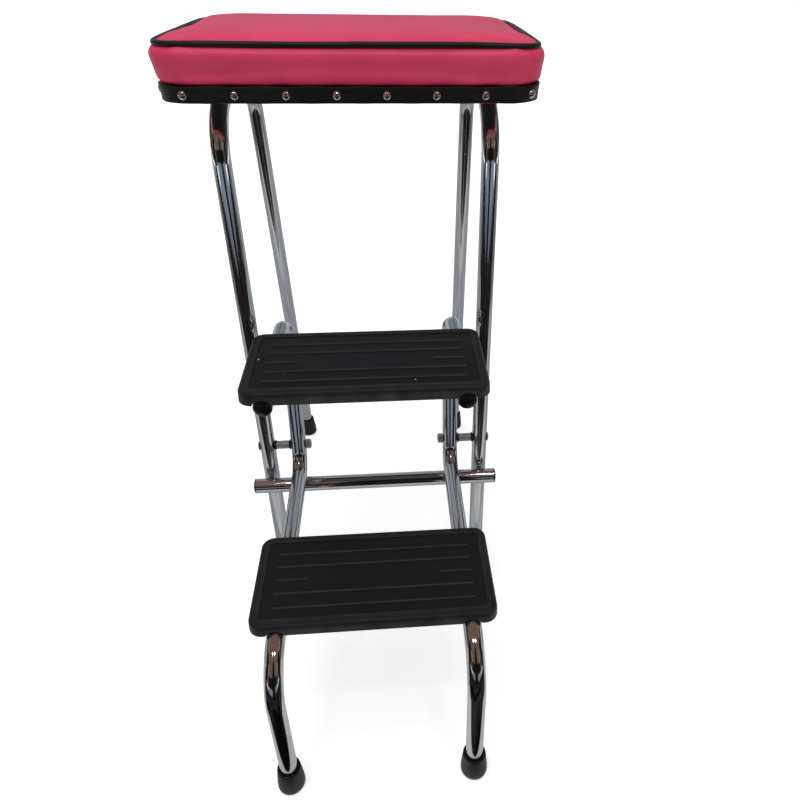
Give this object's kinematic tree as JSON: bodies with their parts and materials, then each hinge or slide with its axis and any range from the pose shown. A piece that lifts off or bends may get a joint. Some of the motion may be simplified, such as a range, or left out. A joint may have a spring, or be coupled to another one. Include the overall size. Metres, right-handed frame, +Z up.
{
  "type": "folding step stool chair",
  "caption": "Tall upholstered stool on chromed tube legs, with a step unit of treads that swings over to stow between the legs.",
  "frame": {"origin": "centre of the footprint, on the floor, with the step unit swung down", "axes": "+Z up, -Y towards the front of the stool where the steps are, +X to the right of a person who faces the back"},
  "size_m": [0.375, 0.6632, 0.6935],
  "materials": {
    "chrome": "bright chrome plate on steel tube",
    "zinc": "bright zinc plate",
    "steel_sheet": "rolled sheet",
    "black_plastic": "moulded, glossy",
    "black_rubber": "moulded, matte",
    "tread_rubber": "moulded with raised ribs, satin",
    "plywood": "stained black",
    "black_vinyl": "coated cloth, fine grain",
    "pink_vinyl": "coated cloth over foam, fine grain"
  },
  "bodies": {
    "frame": {"side_frame_left": "chrome", "side_frame_right": "chrome", "stop_bar": "chrome", "bar_cap_left": "black_plastic", "bar_cap_right": "black_plastic", "front_foot_left": "black_rubber", "front_foot_right": "black_rubber", "back_foot_left": "black_rubber", "back_foot_right": "black_rubber", "pivot_bolt_left": "zinc", "pivot_bolt_right": "zinc", "pivot_nut_left": "zinc", "pivot_nut_right": "zinc", "pivot_spacer_left": "zinc", "pivot_spacer_right": "zinc", "pivot_washer_outer_left": "black_plastic", "pivot_washer_outer_right": "black_plastic", "pivot_washer_inner_left": "black_plastic", "pivot_washer_inner_right": "black_plastic", "leg_rivet_left": "zinc", "leg_rivet_right": "zinc", "seat_screw_front_left": "zinc", "seat_screw_front_right": "zinc", "seat_screw_back_left": "zinc", "seat_screw_back_right": "zinc", "seat_board": "plywood", "seat_band": "black_vinyl", "seat_cushion": "pink_vinyl", "seat_piping": "black_vinyl"},
    "step_unit": {"step_tube_left": "chrome", "step_tube_right": "chrome", "step_end_cap_left": "black_plastic", "step_end_cap_right": "black_plastic", "step_foot_left": "black_rubber", "step_foot_right": "black_rubber", "step_rivet_left": "zinc", "step_rivet_right": "zinc", "upper_tread_cover": "tread_rubber", "lower_tread_cover": "tread_rubber", "upper_tread_plate": "steel_sheet", "lower_tread_plate": "steel_sheet", "upper_tread_screw_back_left": "zinc", "upper_tread_screw_back_right": "zinc", "upper_tread_screw_front_left": "zinc", "upper_tread_screw_front_right": "zinc", "lower_tread_screw_back_left": "zinc", "lower_tread_screw_back_right": "zinc", "lower_tread_screw_front_left": "zinc", "lower_tread_screw_front_right": "zinc"}
  },
  "joints": [
    {"name": "step_unit_swing", "type": "hinge", "parent": "frame", "child": "step_unit", "pos_m": [0, -0.00296, 0.231], "axis": [-1, 0, 0], "range_deg": [0, 167]}
  ]
}
